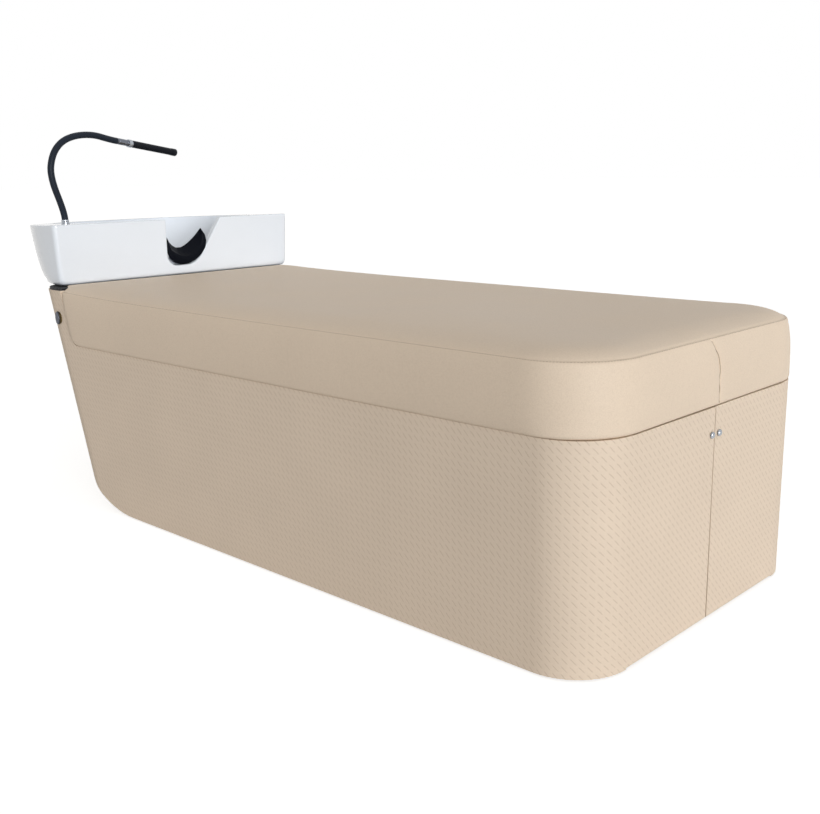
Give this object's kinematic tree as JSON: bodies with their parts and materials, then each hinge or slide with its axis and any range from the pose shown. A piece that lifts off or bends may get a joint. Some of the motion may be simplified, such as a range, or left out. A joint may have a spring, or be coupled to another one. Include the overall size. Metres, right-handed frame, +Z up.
{
  "type": "hair washing bed",
  "caption": "Upholstered salon bed for washing hair: boxed base with foot doors, long cushion, and a wide basin with neck rest and gooseneck hose at the head.",
  "frame": {"origin": "middle of the overall box, on the floor", "axes": "+Z up, +Y from the foot doors towards the basin, +X across"},
  "size_m": [0.8128, 2.0594, 0.9676],
  "materials": {
    "base_fabric": "beige diagonal weave",
    "cushion_vinyl": "beige fine-grained soft vinyl over foam",
    "board": "plain plywood",
    "basin_glaze": "glossy white glaze",
    "deck_black": "black laminate",
    "neck_rubber": "soft black",
    "hose_rubber": "satin black",
    "spout_black": "satin black",
    "chrome": "polished",
    "dark_chrome": "dark polished",
    "brass": "plain",
    "steel": "zinc plated",
    "support_paint": "black powder coat",
    "magnet_case": "white",
    "waste_plastic": "white",
    "glide_plastic": "black"
  },
  "bodies": {
    "base": {"base_cover": "base_fabric", "cushion": "cushion_vinyl", "floor_board": "board", "foot_corner_left": "board", "foot_corner_right": "board", "side_wall_left": "board", "side_wall_right": "board", "head_wall": "board", "top_board": "board", "bulkhead": "board", "upstand_front": "board", "hinge_batten_left": "board", "hinge_batten_right": "board", "cushion_board": "board", "basin": "basin_glaze", "head_deck": "deck_black", "cold_hose": "hose_rubber", "hot_hose": "hose_rubber", "outlet_hose": "hose_rubber", "basin_gasket": "hose_rubber", "hose_foot": "chrome", "drain_flange": "chrome", "water_valve": "brass", "cold_inlet": "brass", "hot_inlet": "brass", "hinge_arms_left": "steel", "hinge_arms_right": "steel", "basin_bolts": "steel", "basin_support": "support_paint", "catch_magnets": "magnet_case", "drain_pipe": "waste_plastic", "waste_pipe": "waste_plastic", "waste_trap": "waste_plastic", "glide_feet": "glide_plastic"},
    "door_left": {"foot_door_left": "board", "door_cover_left": "base_fabric", "door_knob_left": "chrome", "hinge_cups_left": "steel", "strike_plate_left": "steel"},
    "door_right": {"foot_door_right": "board", "door_cover_right": "base_fabric", "door_knob_right": "chrome", "hinge_cups_right": "steel", "strike_plate_right": "steel"},
    "gooseneck": {"swivel_nut": "chrome", "gooseneck_hose": "hose_rubber", "hose_coupling": "chrome", "spout": "spout_black"},
    "flow_collar": {"flow_collar": "chrome"},
    "neck_rest": {"neck_rest": "neck_rubber"},
    "drain_strainer": {"drain_strainer": "chrome"},
    "water_knob": {"water_knob": "dark_chrome"}
  },
  "joints": [
    {"name": "door_left_hinge", "type": "hinge", "parent": "base", "child": "door_left", "pos_m": [-0.284, -1.01425, 0.214], "axis": [0, 0, -1], "range_deg": [0, 100]},
    {"name": "door_right_hinge", "type": "hinge", "parent": "base", "child": "door_right", "pos_m": [0.284, -1.01425, 0.214], "axis": [0, 0, 1], "range_deg": [0, 100]},
    {"name": "gooseneck_swivel", "type": "hinge", "parent": "base", "child": "gooseneck", "pos_m": [-0.326, 0.70575, 0.735], "axis": [0, 0, 1], "range_deg": [-60, 60]},
    {"name": "flow_collar_turn", "type": "hinge", "parent": "gooseneck", "child": "flow_collar", "pos_m": [-0.09462, 0.73745, 0.93868], "axis": [0.9805, 0.1343, -0.1437], "range_deg": [0, 90]},
    {"name": "neck_rest_lift", "type": "slide", "parent": "base", "child": "neck_rest", "axis": [0, 0, 1], "range_m": [0, 0.14]},
    {"name": "strainer_lift", "type": "slide", "parent": "base", "child": "drain_strainer", "axis": [0, 0, 1], "range_m": [0, 0.03]},
    {"name": "water_knob_turn", "type": "hinge", "parent": "base", "child": "water_knob", "pos_m": [-0.4, 0.64575, 0.491], "axis": [-1, 0, 0], "range_deg": [0, 90]}
  ]
}
